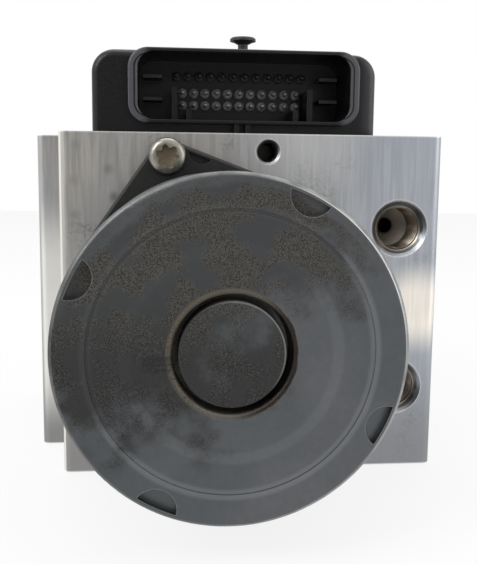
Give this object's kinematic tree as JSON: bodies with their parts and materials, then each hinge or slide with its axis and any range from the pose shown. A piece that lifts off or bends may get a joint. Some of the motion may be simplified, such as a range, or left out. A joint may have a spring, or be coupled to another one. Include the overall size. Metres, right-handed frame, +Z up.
{
  "type": "abs brake module",
  "caption": "Machined aluminium valve block with a round pump motor on the front and a plastic control unit behind, its connector socket above.",
  "frame": {"origin": "centre of the valve block's bottom face", "axes": "+Z up through the block, -Y along the motor axis towards the motor end, +X to the right as seen facing the motor"},
  "size_m": [0.1022, 0.1279, 0.1148],
  "materials": {
    "block_aluminium": "extruded grain with machined faces, satin",
    "motor_steel": "dull zinc coated drawn steel with grime",
    "flange_black": "black coated, satin",
    "screw_zinc": "zinc plated",
    "unit_plastic": "moulded glass filled plastic",
    "clip_plastic": "moulded",
    "pin_tin": "tin plated",
    "brass": "stamped",
    "magnet": "sintered ferrite",
    "bearing_steel": "ground",
    "core_iron": "stacked laminations",
    "copper": "enamelled copper",
    "carbon": "pressed carbon",
    "spring_steel": "drawn wire",
    "seal_rubber": "moulded rubber",
    "machined_steel": "turned",
    "cap_aluminium": "turned and staked",
    "board_green": "coated board",
    "board_black": "moulded"
  },
  "bodies": {
    "root": {"accumulator_cap_lower": "cap_aluminium", "accumulator_cap_upper": "cap_aluminium", "accumulator_spring_lower": "spring_steel", "accumulator_spring_upper": "spring_steel", "board_capacitors": "board_black", "board_chips": "board_black", "brush_holder": "unit_plastic", "brush_spring_lower": "spring_steel", "brush_spring_upper": "spring_steel", "circuit_board": "board_green", "clip_stud": "clip_plastic", "connector_pins": "pin_tin", "control_unit_cover": "unit_plastic", "control_unit_housing": "unit_plastic", "control_unit_screws": "screw_zinc", "cover_vent": "clip_plastic", "end_bearing_outer_ring": "bearing_steel", "flange_bearing_outer_ring": "bearing_steel", "inlet_coil_windings": "copper", "inlet_coil_yokes": "machined_steel", "inlet_valves": "machined_steel", "motor_can": "motor_steel", "motor_flange": "flange_black", "motor_flange_screws": "screw_zinc", "motor_magnet_left": "magnet", "motor_magnet_right": "magnet", "motor_terminals": "brass", "outlet_coil_windings": "copper", "outlet_coil_yokes": "machined_steel", "outlet_valves": "machined_steel", "passage_balls": "bearing_steel", "power_blades": "pin_tin", "pump_plug_lower": "cap_aluminium", "pump_plug_upper": "cap_aluminium", "pump_seals": "seal_rubber", "pump_sleeve_lower": "machined_steel", "pump_sleeve_upper": "machined_steel", "pump_spring_lower": "spring_steel", "pump_spring_upper": "spring_steel", "terminal_seal": "seal_rubber", "unit_gasket": "seal_rubber", "valve_block": "block_aluminium"},
    "rotor": {"rotor_shaft": "bearing_steel", "armature_core": "core_iron", "armature_winding": "copper", "commutator": "copper", "end_bearing_inner_ring": "bearing_steel", "end_bearing_balls": "bearing_steel", "flange_bearing_inner_ring": "bearing_steel", "flange_bearing_balls": "bearing_steel", "eccentric_needles": "bearing_steel"},
    "eccentric_ring": {"eccentric_ring": "bearing_steel"},
    "pump_piston_upper": {"pump_piston_upper": "machined_steel"},
    "pump_piston_lower": {"pump_piston_lower": "machined_steel"},
    "accumulator_piston_upper": {"accumulator_piston_upper": "cap_aluminium", "accumulator_seal_upper": "seal_rubber"},
    "accumulator_piston_lower": {"accumulator_piston_lower": "cap_aluminium", "accumulator_seal_lower": "seal_rubber"},
    "brush_upper": {"brush_upper": "carbon"},
    "brush_lower": {"brush_lower": "carbon"}
  },
  "joints": [
    {"name": "rotor_spin", "type": "hinge", "parent": "root", "child": "rotor", "pos_m": [-0.0096, -0.023, 0.041], "axis": [0, 1, 0], "continuous": true},
    {"name": "eccentric_ring_spin", "type": "hinge", "parent": "rotor", "child": "eccentric_ring", "pos_m": [-0.0086, -0.006, 0.041], "axis": [0, 1, 0], "continuous": true},
    {"name": "pump_piston_upper_slide", "type": "slide", "parent": "root", "child": "pump_piston_upper", "axis": [0, 0, 1], "range_m": [0, 0.002], "stiffness_N_per_m": 1500, "springref_m": -0.004, "deforming": ["pump_spring_upper"]},
    {"name": "pump_piston_lower_slide", "type": "slide", "parent": "root", "child": "pump_piston_lower", "axis": [0, 0, -1], "range_m": [0, 0.002], "stiffness_N_per_m": 1500, "springref_m": -0.004, "deforming": ["pump_spring_lower"]},
    {"name": "accumulator_upper_slide", "type": "slide", "parent": "root", "child": "accumulator_piston_upper", "axis": [-1, 0, 0], "range_m": [0, 0.008], "stiffness_N_per_m": 1500, "springref_m": -0.01, "deforming": ["accumulator_spring_upper"]},
    {"name": "accumulator_lower_slide", "type": "slide", "parent": "root", "child": "accumulator_piston_lower", "axis": [-1, 0, 0], "range_m": [0, 0.008], "stiffness_N_per_m": 1500, "springref_m": -0.01, "deforming": ["accumulator_spring_lower"]},
    {"name": "brush_upper_slide", "type": "slide", "parent": "root", "child": "brush_upper", "axis": [0, 0, 1], "range_m": [0, 0.002], "stiffness_N_per_m": 500, "springref_m": -0.006, "deforming": ["brush_spring_upper"]},
    {"name": "brush_lower_slide", "type": "slide", "parent": "root", "child": "brush_lower", "axis": [0, 0, -1], "range_m": [0, 0.002], "stiffness_N_per_m": 500, "springref_m": -0.006, "deforming": ["brush_spring_lower"]}
  ]
}
